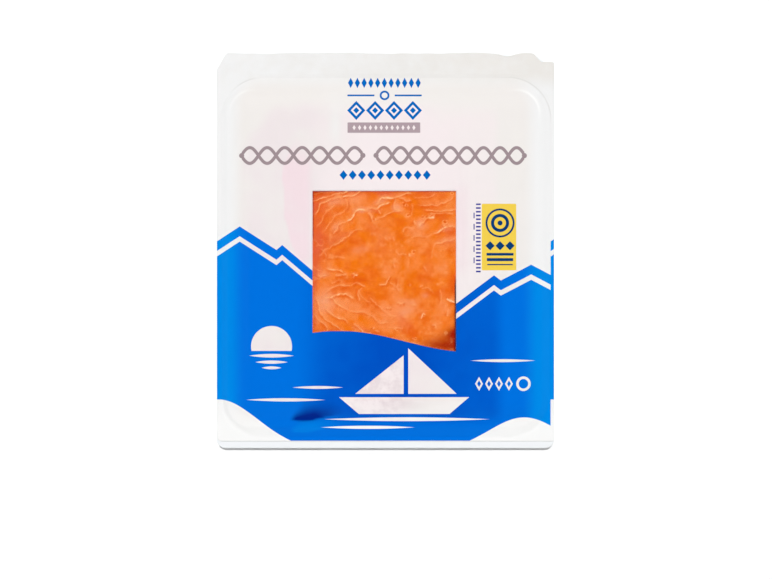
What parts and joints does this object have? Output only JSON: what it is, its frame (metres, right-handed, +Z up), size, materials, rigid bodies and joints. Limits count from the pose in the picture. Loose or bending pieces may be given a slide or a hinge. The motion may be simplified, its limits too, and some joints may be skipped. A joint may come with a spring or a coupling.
{
  "type": "pack of sliced smoked salmon",
  "caption": "Flat sealed food pack: a shallow white tray with a raised printed film lid and a clear window over sliced smoked salmon on a card.",
  "frame": {"origin": "on the ground under the middle of the pack's outline, with the pack lying on its back", "axes": "+X the pack's right, +Y towards the top edge of the print, +Z up out of the lid"},
  "size_m": [0.19, 0.2229, 0.0132],
  "materials": {
    "tray_plastic": "white thermoformed sheet, satin",
    "card": "smooth coated board, cream",
    "salmon": "moist orange flesh with pale lines between the muscle blocks",
    "printed_film": "white film printed with blue fields, soft gloss",
    "clear_film": "clear unprinted film, gloss"
  },
  "bodies": {
    "root": {"tray": "tray_plastic", "board": "card", "salmon_pile": "salmon", "salmon_slice_middle": "salmon", "salmon_slice_top": "salmon", "lid_film": "printed_film", "lid_window": "clear_film"}
  },
  "joints": []
}
